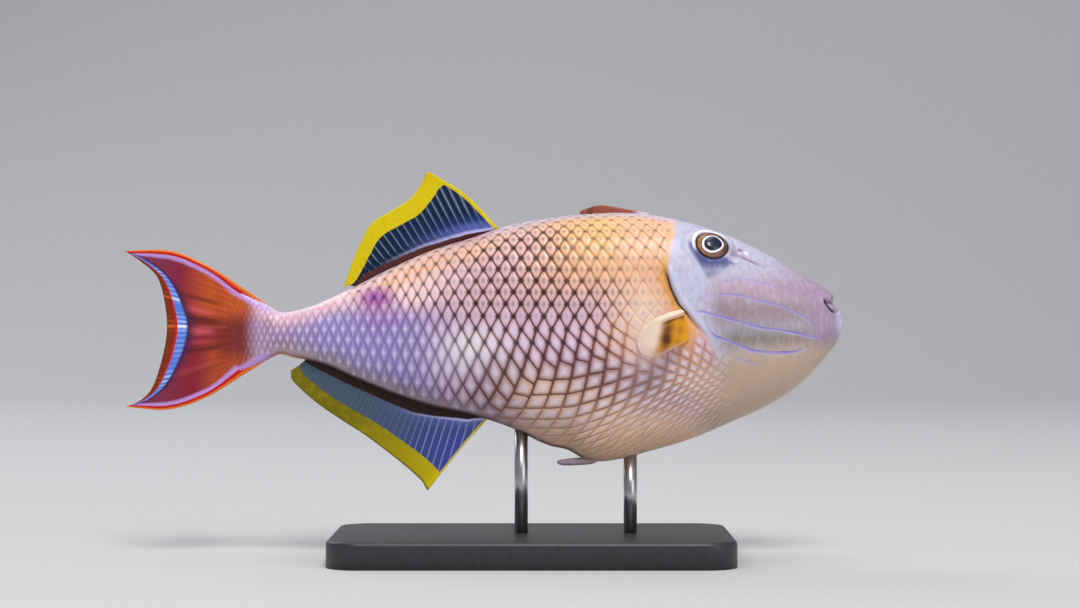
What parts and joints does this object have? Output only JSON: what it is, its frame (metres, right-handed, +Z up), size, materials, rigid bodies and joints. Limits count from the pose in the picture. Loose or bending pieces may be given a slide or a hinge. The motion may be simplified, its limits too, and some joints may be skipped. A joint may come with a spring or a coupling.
{
  "type": "crosshatch triggerfish",
  "caption": "Still life-size model of a crosshatch triggerfish, level with its fins raised, on rods over a plain display base.",
  "frame": {"origin": "under the middle of the whole model, on the underside of the stand base", "axes": "+X from the tail to the snout along the body, +Y to the left side of the fish, +Z up"},
  "size_m": [0.2707, 0.084, 0.1457],
  "materials": {
    "head_skin": "smooth painted resin, satin",
    "flank_skin": "painted resin with scale plates, satin",
    "tail_base_skin": "painted resin with scale plates, satin",
    "first_fin_skin": "painted resin, matte",
    "blue_fin": "thin ribbed resin fin, satin",
    "tail_fin_skin": "thin ribbed resin fin, satin",
    "pectoral_skin": "thin ribbed resin fin, satin",
    "eye_gloss": "clear glossy resin over paint",
    "pelvic_skin": "painted resin, matte",
    "stand_grey": "plain matte",
    "stand_steel": "satin"
  },
  "bodies": {
    "root": {"head": "head_skin", "trunk": "flank_skin", "tail_base": "tail_base_skin", "first_dorsal_fin": "first_fin_skin", "second_dorsal_fin": "blue_fin", "anal_fin": "blue_fin", "caudal_fin": "tail_fin_skin", "pectoral_fin_right": "pectoral_skin", "pectoral_fin_left": "pectoral_skin", "eye_right": "eye_gloss", "eye_left": "eye_gloss", "pelvic_spine": "pelvic_skin", "stand_base": "stand_grey", "stand_rod_1": "stand_steel", "stand_rod_2": "stand_steel"}
  },
  "joints": []
}
